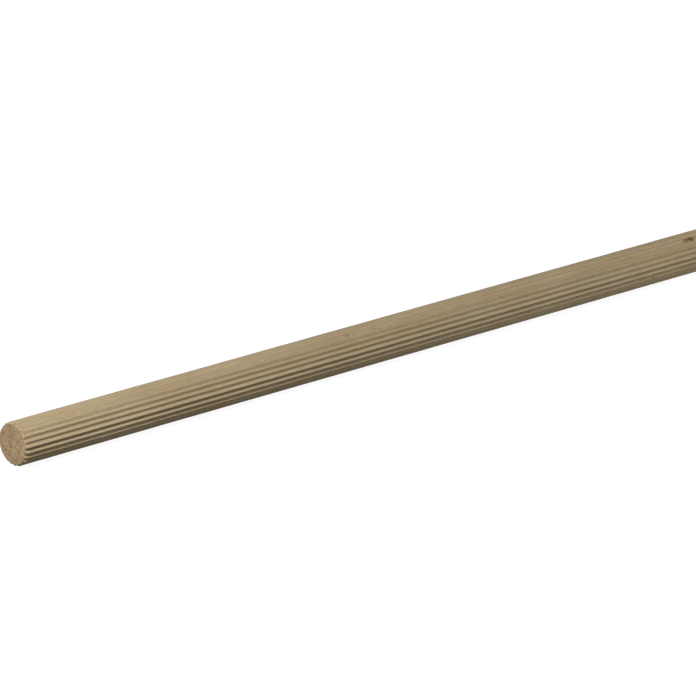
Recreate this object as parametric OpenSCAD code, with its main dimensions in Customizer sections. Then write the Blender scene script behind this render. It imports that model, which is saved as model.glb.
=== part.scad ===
// Fluted dowel rod: one straight piece of beech with flutes pressed along its whole length.
// The rod lies along X on the XY plane, resting on the two lands on either side of its lowest flute.

/* [Rod] */
// Diameter over the lands, which is the drill size that the rod fits
rod_d = 10; // [6:0.5:20]
// Length from one end face to the other
rod_l = 1000; // [100:10:2000]
// Width of the broken edge round each end face
end_break = 0.4; // [0.1:0.05:0.6]

/* [Flutes] */
// Number of flutes round the rod
flute_count = 24; // [16:1:36]
// Width of the land left between two flutes
land_w = 0.12; // [0.04:0.02:0.4]
// Depth of a flute below the lands
flute_depth = 0.5; // [0.2:0.05:0.7]
// Radius at the root of a flute
flute_root_r = 0.2; // [0.05:0.05:0.3]

/* [Hidden] */

beech = [0.72, 0.63, 0.49];
curve_fn = 96;
// How far cutters and blanks run past the surface that they cut
overcut = 1;

rod_r = rod_d / 2;
flute_pitch_deg = 360 / flute_count;

// Half a flute, with X pointing out of the rod: its mouth, its root circle and the flank that joins them
mouth_deg = flute_pitch_deg / 2 - asin(land_w / rod_d);
mouth_x = rod_r * cos(mouth_deg);
mouth_y = rod_r * sin(mouth_deg);
root_x = rod_r - flute_depth + flute_root_r;
mouth_to_root = norm([mouth_x - root_x, mouth_y]);
// The flank passes a hair inside the root circle, so that the two outlines cross
flank_off = 0.998 * flute_root_r;
flank_deg = atan2(mouth_y, mouth_x - root_x) - asin(flank_off / mouth_to_root);
flank_foot = [root_x - flank_off * sin(flank_deg), flank_off * cos(flank_deg)];
flank_end = [mouth_x, mouth_y] + overcut * [cos(flank_deg), sin(flank_deg)];

// Height of the rod's axis: the two lowest lands touch down at the edges of the flute between them
rest_h = mouth_x;

module flute_section() {
    polygon([flank_foot, flank_end, [flank_end.x, -flank_end.y], [flank_foot.x, -flank_foot.y]]);
    translate([root_x, 0])
        circle(r = flute_root_r, $fn = curve_fn);
}

module rod_section() {
    difference() {
        circle(r = rod_r, $fn = curve_fn);
        for (i = [0 : flute_count - 1])
            rotate(i * flute_pitch_deg)
                flute_section();
    }
}

// The outline that the rod is sawn and eased to: flat ends with a small bevel
module end_envelope() {
    rotate_extrude($fn = curve_fn)
        polygon([
            [0, 0],
            [rod_r - end_break, 0],
            [rod_r + overcut, end_break + overcut],
            [rod_r + overcut, rod_l - end_break - overcut],
            [rod_r - end_break, rod_l],
            [0, rod_l]
        ]);
}

module dowel_rod() {
    color(beech)
        translate([-rod_l / 2, 0, rest_h])
            rotate([0, 90, 0])
                intersection() {
                    translate([0, 0, -overcut])
                        linear_extrude(rod_l + 2 * overcut)
                            rod_section();
                    end_envelope();
                }
}

dowel_rod();
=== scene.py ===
import math

import bpy
import numpy as np
from mathutils import Matrix, Vector


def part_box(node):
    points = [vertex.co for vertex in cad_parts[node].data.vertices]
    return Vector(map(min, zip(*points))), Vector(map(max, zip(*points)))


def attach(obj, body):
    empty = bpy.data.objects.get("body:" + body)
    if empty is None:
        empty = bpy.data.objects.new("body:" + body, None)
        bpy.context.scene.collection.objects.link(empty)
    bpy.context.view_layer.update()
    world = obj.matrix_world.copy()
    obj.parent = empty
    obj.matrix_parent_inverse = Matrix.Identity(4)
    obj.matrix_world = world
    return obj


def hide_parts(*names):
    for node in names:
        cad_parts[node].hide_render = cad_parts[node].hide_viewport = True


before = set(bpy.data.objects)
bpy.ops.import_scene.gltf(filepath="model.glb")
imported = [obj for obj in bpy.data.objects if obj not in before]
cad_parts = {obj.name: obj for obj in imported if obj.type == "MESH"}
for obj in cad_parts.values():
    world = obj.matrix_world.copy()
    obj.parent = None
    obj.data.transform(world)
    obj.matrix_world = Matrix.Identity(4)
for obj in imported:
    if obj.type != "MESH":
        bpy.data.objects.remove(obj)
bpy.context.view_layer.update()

# Metres in a millimetre, and millimetres in a metre
MM = 0.001
TO_MM = 1000

SEED = 24
WHITE = (1, 1, 1, 1)

# Where the rod lies
rod_low, rod_high = (Vector(corner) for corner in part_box("dowel_rod"))
rod_length = rod_high.x - rod_low.x
rod_axis_z = (rod_low.z + rod_high.z) / 2

# The rod's section, as in the solid
ROD_R = 5.0 * MM
FLUTE_COUNT = 24
LAND_W = 0.12 * MM
FLUTE_DEPTH = 0.5 * MM
FLUTE_ROOT_R = 0.2 * MM
END_BREAK = 0.4 * MM
FLUTE_PITCH = 2 * math.pi / FLUTE_COUNT
LOWEST_FLUTE = -math.pi / 2

# How far the lands stray from it: how far down the flanks their edges are eased, how far those edges drop,
# how much the lands are worn, the share of that on the eased flanks, and the length over which it changes
LAND_EASE = 0.06 * MM
LAND_DROP = LAND_EASE / 4
LAND_WEAR = 0.012 * MM
FLANK_WEAR = 0.4
WEAR_WAVE = 7 * MM

# How far the flutes stray from it: the share by which their depth varies, how far they wander sideways, the
# share of the depth from which they do so in full, half of the turn that they all make, there and back, and
# the lengths over which all this changes
DEPTH_SPREAD = 0.05
FLUTE_WANDER = 0.012 * MM
WANDER_FROM = 0.5
FLUTE_TURN = math.radians(1.27)
DEPTH_WAVE = 35 * MM
WANDER_WAVE = 60 * MM
TURN_WAVE = 500 * MM

# Flutes pressed less or more deeply than the rest, counted from the lowest one, up round the back
PRESSED = {12: 0.85, 13: 0.80, 14: 0.85, 15: 1.10, 16: 1.16, 17: 0.88, 18: 1.16}

# How finely the mesh follows all this: steps along the rod, steps over the bevel as shares of it, steps
# beyond it in mm, steps round half a root as shares of it, the rings in an end as shares of the radius
# at the roots, and the angle from which an edge stays sharp
STATION_STEP = 3.0 * MM
BEVEL_STEPS = (0, 0.3, 0.65, 1.0)
SETTLE_STEPS = (0.6, 1.2, 2.0)
ROOT_STEPS = (0, 0.5, 1)
END_RINGS = (0.85, 0.55, 0.25)
SHARP_EDGE = math.radians(38)

# The map that lays the rod out flat
STRIPS = 5
MAP_GAP = 1.0 * MM

# Beech, in linear colour
SIDE_PALE = (0.494, 0.399, 0.253)
SIDE_DARK = (0.386, 0.296, 0.170)
SIDE_FLUSH = (0.458, 0.334, 0.196)
# Painted shade for the flute roots, not a colour of the wood
ROOT_SHADE_BROWN = (0.255, 0.168, 0.052)
RAY_BROWN = (0.227, 0.147, 0.076)
MARK_BROWN = (0.143, 0.063, 0.027)
END_PALE = (0.424, 0.312, 0.184)
END_DARK = (0.240, 0.163, 0.085)
PORE_BROWN = (0.168, 0.105, 0.052)

# How the rod lies in the tree: the pith, in mm from the rod's axis, and the slope of the grain
PITH = (38.0, -64.0)
GRAIN_SLOPE = (0.0, math.radians(0.5), math.radians(-0.8))

# Growth rings: their width and waver in mm, and the power that narrows their dark edge
RING_W = 2.2
RING_WAVER = (-1.4, 1.4)
RING_POWER = 3.0

# Noise along the grain: waves per mm along it and across it, detail, roughness
RING_NOISE = (0.004, 0.12, 2.0, 0.5)
STREAKS = (0.02, 1.1, 4.0, 0.6)
FIBRES = (0.22, 6.0, 3.0, 0.6)
BLOTCHES = (0.045, 0.10, 2.0, 0.5)
FLUSHES = (0.06, 0.30, 2.0, 0.5)
RAYS = (0.42, 3.6, 1.0, 0.5)
PORES = (0.7, 11.0, 1.0, 0.5)
TICKS = (1.1, 1.2, 3.0, 0.6)

# Noise on the ends and in the marks: waves per mm along X, Y and Z, detail, roughness
SPECKLES = ((0.4, 1.5, 1.5), 3.0, 0.6)
PATCHES = ((0.1, 0.35, 0.35), 2.0, 0.5)
END_RAYS = ((0.3, 0.35, 3.2), 1.0, 0.5)
SAW_LINES = ((0.2, 0.25, 4.0), 2.0, 0.5)
MARK_NOISE = ((1.6, 3.2, 3.2), 3.0, 0.5)
CELLS_PER_MM = (0.4, 2.4, 2.4)
END_RAY_TURN = (math.atan2(PITH[1], PITH[0]), 0, 0)
SAW_TURN = (0.5, 0, 0)

# Spans of noise that are used: nearly all of it, most of it, its middle, and from where each feature
# begins to where it is full. A pore in the end is full at a cell's middle and ends further out
WIDE_SPAN = (0.2, 0.8)
MOST_SPAN = (0.25, 0.75)
MIDDLE_SPAN = (0.3, 0.7)
SPECKLE_SPAN = (0.32, 0.68)
FLUSH_SPAN = (0.45, 0.7)
RAY_SPAN = (0.62, 0.74)
PORE_SPAN = (0.63, 0.76)
END_RAY_SPAN = (0.56, 0.70)
END_PORE_SPAN = (0.08, 0.26)

# Tones, where 0 is the pale colour and 1 the dark one
STREAK_TONE = (0.02, 0.36)
BLOTCH_TONE = (-0.1, 0.34)
FIBRE_TONE = (-0.12, 0.26)
RING_TONE = 0.22
SPECKLE_TONE = (0.0, 0.84)
PATCH_TONE = (-0.28, 0.33)
END_RING_TONE = 0.3

# How strongly the other colours cover that one
FLUSH_SHARE = (0.0, 0.6)
# How strongly the painted shade covers the flute roots
ROOT_SHADE_SHARE = (0.0, 0.2)
RAY_SHARE = 0.34
PORE_SHARE = 0.22
END_RAY_SHARE = 0.35
END_PORE_SHARE = 0.45

# Painted shade in the flutes: a brown laid into the roots by depth, the shares of a flute's depth where it
# begins and is full, and its ragged edge
ROOT_SHADE_SPAN = (0.5, 1.15)
ROOT_SHADE_RAGGED = (-0.30, 0.30)

# The wood's finish: roughness, gloss, and the height of what stands out or lies deeper
SIDE_ROUGHNESS = (0.58, 0.74)
END_ROUGHNESS = (0.68, 0.84)
SPECULAR = 0.08
FIBRE_RELIEF = 0.03 * MM
TICK_RELIEF = 0.16 * MM
PORE_RELIEF = -0.02 * MM
SAW_RELIEF = 0.04 * MM
END_PORE_RELIEF = -0.03 * MM
SPECKLE_RELIEF = 0.05 * MM

# Marks on the wood: mm from the near end, degrees up from level, half length and half width in mm, strength
MARKS = (
    (208.0, 66.5, 1.30, 0.80, 1.00),
    (206.5, 65.5, 1.40, 0.70, 0.75),
    (187.0, 60.5, 0.70, 0.45, 0.50),
    (193.0, -20.5, 0.60, 0.45, 0.60),
    (206.0, 35.5, 0.70, 0.45, 0.50),
    (171.5, 5.0, 0.60, 0.45, 0.50),
    (96.0, 65.0, 0.80, 0.50, 0.35),
    (98.0, 62.5, 0.65, 0.40, 0.30),
    (104.0, 64.0, 0.70, 0.45, 0.30),
    (114.5, 63.5, 0.80, 0.40, 0.28),
    (96.0, 18.5, 0.55, 0.40, 0.40),
    (18.5, -12.5, 0.55, 0.40, 0.55),
)
# Where a mark fades out, as shares of its half sizes, and its ragged edge
MARK_SPAN = (0.45, 1.2)
MARK_RAGGED = (-0.45, 0.45)

# Camera, fitted to the rod's outline, end and flutes in the photograph
CAMERA_AT = (-1.1565, -0.8197, 0.4280)
CAMERA_TARGET = (-0.3924, 0.0102, 0.0)
CAMERA_ROLL = math.radians(2.25)
CAMERA_LENS = 268.2
CAMERA_NEAR = 0.01

# Lamps: metres along the rod from its middle, degrees up from level in front, degrees leaned towards
# the far end, distance and diameter in metres, watts
LAMPS = (
    ("key", -0.78, 67, 0, 0.35, 0.05, 2.95),
    ("end_fill", -0.50, 20, -69.5, 2.0, 0.5, 9.0),
    ("side_fill", -0.16, 20, 0, 0.25, 0.1, 0.21),
    ("front_fill", 0.20, 12, 0, 0.5, 0.3, 0.95),
    ("top_fill", 0.20, 75, 0, 0.5, 0.3, 0.8),
    ("far_top", 0.55, 80, 0, 0.5, 0.3, 1.7),
    ("far_front", 0.55, 20, 0, 0.5, 0.3, 0.95),
    ("far_end_fill", 0.50, 120, 86, 2.0, 0.2, 34.0),
    ("back_fill", 0.00, 176, 0, 2.0, 0.25, 28.0),
)
WORLD_LIGHT = 0.03

# The floor: half its side, its own white and the share of light on it that the camera sees, and the share
# of light that it sends back
FLOOR_HALF = 8.0
FLOOR_GLOW = 0.93
FLOOR_SHOWN = 0.20
FLOOR_BOUNCE = 0.05


def half_flute():
    """Points (outwards, sideways) from a flute's root up its flank to the middle of the land beside it."""
    mouth = FLUTE_PITCH / 2 - math.asin(LAND_W / (2 * ROD_R))
    mouth_x, mouth_y = ROD_R * math.cos(mouth), ROD_R * math.sin(mouth)
    root_x = ROD_R - FLUTE_DEPTH + FLUTE_ROOT_R
    rise = mouth_x - root_x
    flank = math.atan2(mouth_y, rise) - math.asin(FLUTE_ROOT_R / math.hypot(rise, mouth_y))
    foot = math.pi / 2 - flank
    points = []
    for step in ROOT_STEPS:
        turn = step * foot
        points.append((root_x - FLUTE_ROOT_R * math.cos(turn), FLUTE_ROOT_R * math.sin(turn)))
    points.append((mouth_x - LAND_EASE * math.cos(flank), mouth_y - LAND_EASE * math.sin(flank)))
    points.append((mouth_x - LAND_DROP, mouth_y))
    points.append((ROD_R * math.cos(FLUTE_PITCH / 2), ROD_R * math.sin(FLUTE_PITCH / 2)))
    return np.array(points)


def wander(rng, along, wave):
    """For each flute, smooth random values along the rod, about 1 in size, that change over each wave."""
    knots = np.arange(along.min() - wave, along.max() + 2 * wave, wave)
    values = rng.normal(size=(FLUTE_COUNT, len(knots)))
    k = np.clip(((along - knots[0]) / wave).astype(int), 0, len(knots) - 2)
    t = (along - knots[k]) / wave
    t = t * t * (3 - 2 * t)
    return values[:, k] * (1 - t) + values[:, k + 1] * t


def stations():
    """Distances from the near end at which the rod's outline is set: close together at both ends."""
    near = np.concatenate([np.array(BEVEL_STEPS) * END_BREAK, np.array(SETTLE_STEPS) * MM])
    body = np.linspace(STATION_STEP, rod_length - STATION_STEP, int(rod_length / STATION_STEP) - 1)
    return np.concatenate([near, body, (rod_length - near)[::-1]])


def rod_rings():
    """Rings of points round the rod, one for each station, each point's depth as a share of a flute's,
    and whether an end's bevel cuts it."""
    rng = np.random.default_rng(SEED)
    along = stations()
    half = half_flute()
    angle = np.arctan2(half[:, 1], half[:, 0])
    radius = np.hypot(half[:, 0], half[:, 1])

    depth = 1 + DEPTH_SPREAD * wander(rng, along, DEPTH_WAVE)
    for flute, share in PRESSED.items():
        depth[flute] *= share
    shift = FLUTE_WANDER / ROD_R * wander(rng, along, WANDER_WAVE)
    wear = LAND_WEAR * np.abs(wander(rng, along, WEAR_WAVE))
    turn = FLUTE_TURN * (1 - np.cos(2 * math.pi * along / TURN_WAVE))

    # The points of a flute in their order round the rod: down one flank, through the root, up the other
    crest = len(half) - 1
    order = [(k, -1) for k in range(crest - 1, 0, -1)] + [(k, 1) for k in range(crest + 1)]
    worn = {crest - 2: FLANK_WEAR, crest - 1: 1, crest: 1}
    r, a, deep = [], [], []
    for flute in range(FLUTE_COUNT):
        for k, side in order:
            drop = ROD_R - radius[k]
            share = drop / FLUTE_DEPTH
            land = flute if side > 0 else flute - 1
            sideways = shift[flute] * min(1, share / WANDER_FROM)
            r.append(ROD_R - drop * depth[flute] - wear[land] * worn.get(k, 0))
            a.append(LOWEST_FLUTE + flute * FLUTE_PITCH + side * angle[k] + sideways - turn)
            deep.append(share)

    r, a = np.array(r), np.array(a)
    limit = ROD_R - END_BREAK + np.minimum(along, rod_length - along)
    bevelled = r > limit
    r = np.minimum(r, limit)
    x = np.broadcast_to(rod_low.x + along, r.shape)
    points = np.stack([x, r * np.cos(a), rod_axis_z + r * np.sin(a)], -1)
    return points.transpose(1, 0, 2), np.array(deep), bevelled.T


def side_faces(bevelled):
    """The faces between the rings, and whether each lies on an end's bevel."""
    count, around = bevelled.shape
    faces, on_bevel = [], []
    for i in range(count - 1):
        nearer_end = i if i < count // 2 else i + 1
        cut = bevelled[nearer_end]
        for j in range(around):
            k = (j + 1) % around
            faces.append((i * around + j, i * around + k, (i + 1) * around + k, (i + 1) * around + j))
            on_bevel.append(cut[j] and cut[k])
    return faces, on_bevel


def close_end(verts, base, around, near):
    """Adds the points that fill an end inside the ring at base, and gives the faces between them."""
    x = verts[base][0]
    turns = [math.atan2(z - rod_axis_z, y) for _, y, z in verts[base:base + around]]
    outer = range(base, base + around)
    faces = []
    for scale in END_RINGS:
        r = scale * (ROD_R - FLUTE_DEPTH)
        inner = range(len(verts), len(verts) + around)
        verts.extend((x, r * math.cos(turn), rod_axis_z + r * math.sin(turn)) for turn in turns)
        for j in range(around):
            k = (j + 1) % around
            faces.append((outer[j], outer[k], inner[k], inner[j]))
        outer = inner
    centre = len(verts)
    verts.append((x, 0, rod_axis_z))
    for j in range(around):
        faces.append((outer[j], outer[(j + 1) % around], centre))
    return [face[::-1] for face in faces] if near else faces


def lay_flat(mesh, rings, side_count):
    """Maps the rod's side to strips that lie side by side, and its two ends to a column beside them."""
    count, around = rings.shape[:2]
    middle = rings[count // 2]
    steps = np.linalg.norm(np.roll(middle, -1, axis=0) - middle, axis=1)
    across = np.concatenate([[0], np.cumsum(steps)])
    along = rings[:, 0, 0]
    cuts = np.linspace(0, count - 1, STRIPS + 1).astype(int)
    strip_l = max(along[b] - along[a] for a, b in zip(cuts, cuts[1:]))
    end_column = MAP_GAP + STRIPS * (across[-1] + MAP_GAP)
    map_side = max(end_column + 2 * ROD_R + MAP_GAP, strip_l + 2 * MAP_GAP)

    spots = np.empty((len(mesh.loops), 2))
    points = np.array([v.co for v in mesh.vertices])
    for face in mesh.polygons:
        loops = range(face.loop_start, face.loop_start + face.loop_total)
        if face.index >= side_count:
            far = points[face.vertices[0]][0] > 0
            lift = MAP_GAP + ROD_R + (2 * ROD_R + MAP_GAP if far else 0)
            for loop in loops:
                _, y, z = points[mesh.loops[loop].vertex_index]
                spots[loop] = end_column + ROD_R + y, lift + z - rod_axis_z
            continue
        i, j = divmod(face.index, around)
        strip = np.searchsorted(cuts, i, side="right") - 1
        left = MAP_GAP + strip * (across[-1] + MAP_GAP)
        for loop, (di, dj) in zip(loops, ((0, 0), (0, 1), (1, 1), (1, 0))):
            spots[loop] = left + across[j + dj], MAP_GAP + along[i + di] - along[cuts[strip]]
    layer = mesh.uv_layers.new(name="OFBake")
    layer.uv.foreach_set("vector", (spots / map_side).ravel())


def add_rod():
    """One closed mesh, with end grain on its ends and bevels."""
    rings, deep, bevelled = rod_rings()
    count, around = bevelled.shape
    verts = [tuple(point) for ring in rings for point in ring]
    faces, end_grain = side_faces(bevelled)
    side_count = len(faces)
    for base, near in ((0, True), ((count - 1) * around, False)):
        faces += close_end(verts, base, around, near)
    end_grain += [True] * (len(faces) - side_count)
    flute_depth = np.zeros(len(verts), dtype=np.float32)
    flute_depth[:count * around] = np.tile(deep, count)

    mesh = bpy.data.meshes.new("fluted_rod")
    mesh.from_pydata(verts, [], faces)
    mesh.polygons.foreach_set("material_index", np.array(end_grain, dtype=np.int32))
    mesh.attributes.new("flute_depth", "FLOAT", "POINT").data.foreach_set("value", flute_depth)
    lay_flat(mesh, rings, side_count)
    mesh.shade_smooth()
    mesh.set_sharp_from_angle(angle=SHARP_EDGE)
    mesh.update()
    mesh.materials.append(beech_side())
    mesh.materials.append(beech_end())
    rod = bpy.data.objects.new("fluted_rod", mesh)
    bpy.context.scene.collection.objects.link(rod)
    return rod


class NodeMaterial:
    """A material with a Principled shader, and short calls that add nodes to it."""

    def __init__(self, name):
        self.material = bpy.data.materials.new(name)
        self.material.use_nodes = True
        self.tree = self.material.node_tree
        self.shader = self.tree.nodes["Principled BSDF"]

    def feed(self, socket, value):
        if isinstance(value, bpy.types.NodeSocket):
            self.tree.links.new(value, socket)
        else:
            socket.default_value = value

    def shade(self, name, value):
        self.feed(self.shader.inputs[name], value)

    def node(self, kind, inputs, **settings):
        made = self.tree.nodes.new("ShaderNode" + kind)
        for key, value in settings.items():
            setattr(made, key, value)
        for key, value in inputs.items():
            self.feed(made.inputs[key], value)
        return made

    def math(self, operation, first, second=0.0):
        return self.node("Math", {0: first, 1: second}, operation=operation).outputs[0]

    def add(self, first, *others):
        for other in others:
            first = self.math("ADD", first, other)
        return first

    def times(self, first, second):
        return self.math("MULTIPLY", first, second)

    def length(self, vector):
        return self.node("VectorMath", {0: vector}, operation="LENGTH").outputs["Value"]

    def spread(self, value, span, to=(0.0, 1.0)):
        """A value within a span, eased and carried over to another one."""
        ends = {"From Min": span[0], "From Max": span[1], "To Min": to[0], "To Max": to[1]}
        return self.node("MapRange", {"Value": value, **ends}, interpolation_type="SMOOTHSTEP").outputs[0]

    def mix(self, share, first, second):
        """The first colour, covered by a share of the second."""
        colours = [c if isinstance(c, bpy.types.NodeSocket) else (*c, 1) for c in (first, second)]
        return self.node("MixRGB", {"Fac": share, "Color1": colours[0], "Color2": colours[1]}).outputs[0]

    def place(self, scale, offset=(0, 0, 0), turn=(0, 0, 0)):
        """The place on the rod, in mm from the floor below its middle, scaled, turned and then moved."""
        coords = self.node("TexCoord", {}).outputs["Object"]
        per_mm = tuple(TO_MM * s for s in scale)
        inputs = {"Vector": coords, "Scale": per_mm, "Location": offset, "Rotation": turn}
        return self.node("Mapping", inputs).outputs[0]

    def noise(self, scale, detail, roughness, turn=(0, 0, 0)):
        """Noise with so many waves per mm along each axis."""
        inputs = {"Vector": self.place(scale, turn=turn), "Scale": 1.0}
        return self.node("TexNoise", {**inputs, "Detail": detail, "Roughness": roughness}).outputs[0]

    def grain(self, along, across, detail, roughness):
        """Noise drawn out along the grain."""
        return self.noise((along, across, across), detail, roughness, GRAIN_SLOPE)

    def bump(self, height, distance, below=None):
        """Relief on top of the relief below it."""
        inputs = {"Height": height, "Distance": distance}
        if below is not None:
            inputs["Normal"] = below
        return self.node("Bump", inputs).outputs[0]


def year_rings(mat):
    """The growth rings: 0 through each ring's pale wood, rising to 1 at its dark outer edge."""
    to_pith = (0, -PITH[0], -PITH[1] - rod_axis_z * TO_MM)
    apart = mat.length(mat.place((0, 1, 1), to_pith, GRAIN_SLOPE))
    waver = mat.spread(mat.grain(*RING_NOISE), WIDE_SPAN, RING_WAVER)
    turns = mat.math("DIVIDE", mat.add(apart, waver), RING_W)
    return mat.math("POWER", mat.math("FRACT", turns), RING_POWER)


def mark_mask(mat):
    """Where the placed marks are: small uneven spindles along the grain."""
    ragged = mat.spread(mat.noise(*MARK_NOISE), MOST_SPAN, MARK_RAGGED)
    mask = 0.0
    for along, up, half_l, half_w, strength in MARKS:
        turn = math.radians(up)
        y, z = -ROD_R * math.cos(turn), rod_axis_z + ROD_R * math.sin(turn)
        centre = (rod_low.x * TO_MM + along, y * TO_MM, z * TO_MM)
        scale = (1 / half_l, 1 / half_w, 1 / half_w)
        offset = tuple(-c * s for c, s in zip(centre, scale))
        reach = mat.add(mat.length(mat.place(scale, offset)), ragged)
        mask = mat.math("MAXIMUM", mat.spread(reach, MARK_SPAN, (strength, 0.0)), mask)
    return mask


def beech_side():
    mat = NodeMaterial("beech_side")
    depth = mat.node("Attribute", {}, attribute_name="flute_depth").outputs["Fac"]
    streaks = mat.spread(mat.grain(*STREAKS), MOST_SPAN, STREAK_TONE)
    blotches = mat.spread(mat.grain(*BLOTCHES), MOST_SPAN, BLOTCH_TONE)
    flushes = mat.spread(mat.grain(*FLUSHES), FLUSH_SPAN, FLUSH_SHARE)
    rays = mat.spread(mat.grain(*RAYS), RAY_SPAN)
    pores = mat.spread(mat.grain(*PORES), PORE_SPAN)
    fibres = mat.grain(*FIBRES)
    ticks = mat.grain(*TICKS)
    # How deep each point lies in its flute, with a ragged edge, for the painted shade in the roots
    root_shade_depth = mat.add(depth, mat.spread(ticks, MIDDLE_SPAN, ROOT_SHADE_RAGGED))

    fibre_tone = mat.spread(fibres, MOST_SPAN, FIBRE_TONE)
    tone = mat.add(streaks, blotches, fibre_tone, mat.times(year_rings(mat), RING_TONE))
    colour = mat.mix(tone, SIDE_PALE, SIDE_DARK)
    colour = mat.mix(flushes, colour, SIDE_FLUSH)
    colour = mat.mix(mat.times(rays, RAY_SHARE), colour, RAY_BROWN)
    colour = mat.mix(mat.times(pores, PORE_SHARE), colour, RAY_BROWN)
    # Painted shade: the flute roots darkened and browned by their depth
    colour = mat.mix(mat.spread(root_shade_depth, ROOT_SHADE_SPAN, ROOT_SHADE_SHARE), colour, ROOT_SHADE_BROWN)
    colour = mat.mix(mark_mask(mat), colour, MARK_BROWN)

    mat.shade("Base Color", colour)
    mat.shade("Roughness", mat.spread(fibres, MIDDLE_SPAN, SIDE_ROUGHNESS))
    mat.shade("Specular IOR Level", SPECULAR)
    fine = mat.bump(fibres, FIBRE_RELIEF)
    coarse = mat.bump(ticks, TICK_RELIEF, fine)
    mat.shade("Normal", mat.bump(pores, PORE_RELIEF, coarse))
    return mat.material


def beech_end():
    mat = NodeMaterial("beech_end")
    speckles = mat.noise(*SPECKLES)
    patches = mat.spread(mat.noise(*PATCHES), MOST_SPAN, PATCH_TONE)
    cells = mat.node("TexVoronoi", {"Vector": mat.place(CELLS_PER_MM), "Scale": 1.0}).outputs["Distance"]
    pores = mat.spread(cells, END_PORE_SPAN, (1.0, 0.0))
    rays = mat.spread(mat.noise(*END_RAYS, END_RAY_TURN), END_RAY_SPAN)
    saw_lines = mat.noise(*SAW_LINES, SAW_TURN)

    speckle_tone = mat.spread(speckles, SPECKLE_SPAN, SPECKLE_TONE)
    tone = mat.add(speckle_tone, patches, mat.times(year_rings(mat), END_RING_TONE))
    colour = mat.mix(tone, END_PALE, END_DARK)
    colour = mat.mix(mat.times(rays, END_RAY_SHARE), colour, SIDE_PALE)
    colour = mat.mix(mat.times(pores, END_PORE_SHARE), colour, PORE_BROWN)

    mat.shade("Base Color", colour)
    mat.shade("Roughness", mat.spread(speckles, MIDDLE_SPAN, END_ROUGHNESS))
    mat.shade("Specular IOR Level", SPECULAR)
    sawn = mat.bump(saw_lines, SAW_RELIEF)
    open_pores = mat.bump(pores, END_PORE_RELIEF, sawn)
    mat.shade("Normal", mat.bump(speckles, SPECKLE_RELIEF, open_pores))
    return mat.material


def seen_directly(tree):
    """1 for rays from the camera or through gloss and glass, 0 for rays that carry light to the object."""
    path = tree.nodes.new("ShaderNodeLightPath")
    seen = path.outputs["Is Camera Ray"]
    for kind in ("Is Glossy Ray", "Is Transmission Ray"):
        largest = tree.nodes.new("ShaderNodeMath")
        largest.operation = "MAXIMUM"
        tree.links.new(seen, largest.inputs[0])
        tree.links.new(path.outputs[kind], largest.inputs[1])
        seen = largest.outputs[0]
    return seen


def choose_by_ray(tree, lighting, shown, output):
    """Sends one shader to the rays that carry light, and another to the rays that are seen."""
    choose = tree.nodes.new("ShaderNodeMixShader")
    tree.links.new(seen_directly(tree), choose.inputs[0])
    tree.links.new(lighting.outputs[0], choose.inputs[1])
    tree.links.new(shown.outputs[0], choose.inputs[2])
    tree.links.new(choose.outputs[0], tree.nodes[output].inputs["Surface"])


def floor_material():
    """White to the eye, with the object's soft shadow, and dim in the light that it sends back up."""
    material = bpy.data.materials.new("floor")
    material.use_nodes = True
    tree = material.node_tree
    tree.nodes.remove(tree.nodes["Principled BSDF"])
    shown, bounce = (tree.nodes.new("ShaderNodeBsdfDiffuse") for _ in range(2))
    shown.inputs["Color"].default_value = (FLOOR_SHOWN, FLOOR_SHOWN, FLOOR_SHOWN, 1)
    bounce.inputs["Color"].default_value = (FLOOR_BOUNCE, FLOOR_BOUNCE, FLOOR_BOUNCE, 1)
    glow = tree.nodes.new("ShaderNodeEmission")
    glow.inputs["Strength"].default_value = FLOOR_GLOW
    white = tree.nodes.new("ShaderNodeAddShader")
    tree.links.new(shown.outputs[0], white.inputs[0])
    tree.links.new(glow.outputs[0], white.inputs[1])
    choose_by_ray(tree, bounce, white, "Material Output")
    return material


def add_floor():
    mesh = bpy.data.meshes.new("floor")
    h = FLOOR_HALF
    mesh.from_pydata([(-h, -h, 0), (h, -h, 0), (h, h, 0), (-h, h, 0)], [], [(0, 1, 2, 3)])
    mesh.materials.append(floor_material())
    floor = bpy.data.objects.new("floor", mesh)
    bpy.context.scene.collection.objects.link(floor)


def add_world():
    """White behind the object, with a low even light on it."""
    world = bpy.data.worlds.new("studio")
    world.use_nodes = True
    tree = world.node_tree
    light = tree.nodes["Background"]
    light.inputs["Color"].default_value = WHITE
    light.inputs["Strength"].default_value = WORLD_LIGHT
    backdrop = tree.nodes.new("ShaderNodeBackground")
    backdrop.inputs["Color"].default_value = WHITE
    choose_by_ray(tree, light, backdrop, "World Output")
    bpy.context.scene.world = world


def add_lamp(name, along, up, lean, distance, size, power):
    """A round lamp, aimed at a place on the rod's axis."""
    aim = Vector((along, 0, rod_axis_z))
    up, lean = math.radians(up), math.radians(lean)
    away = Vector((math.sin(lean), -math.cos(lean) * math.cos(up), math.cos(lean) * math.sin(up)))
    data = bpy.data.lights.new(name, "AREA")
    data.shape = "DISK"
    data.size = size
    data.energy = power
    lamp = bpy.data.objects.new(name, data)
    lamp.location = aim + distance * away
    lamp.rotation_euler = (-away).to_track_quat("-Z", "Y").to_euler()
    bpy.context.scene.collection.objects.link(lamp)


def add_camera():
    forward = (Vector(CAMERA_TARGET) - Vector(CAMERA_AT)).normalized()
    right = forward.cross(Vector((0, 0, 1))).normalized()
    up = right.cross(forward)
    turned = Matrix.Rotation(-CAMERA_ROLL, 3, forward)
    right, up = turned @ right, turned @ up
    data = bpy.data.cameras.new("camera")
    data.lens = CAMERA_LENS
    data.clip_start = CAMERA_NEAR
    camera = bpy.data.objects.new("camera", data)
    camera.matrix_world = Matrix((right, up, -forward)).transposed().to_4x4()
    camera.location = CAMERA_AT
    bpy.context.scene.collection.objects.link(camera)
    bpy.context.scene.camera = camera


rod = add_rod()
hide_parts("dowel_rod")
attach(rod, "root")

add_floor()
add_world()
for lamp in LAMPS:
    add_lamp(*lamp)
add_camera()
bpy.context.scene.view_settings.view_transform = "Standard"
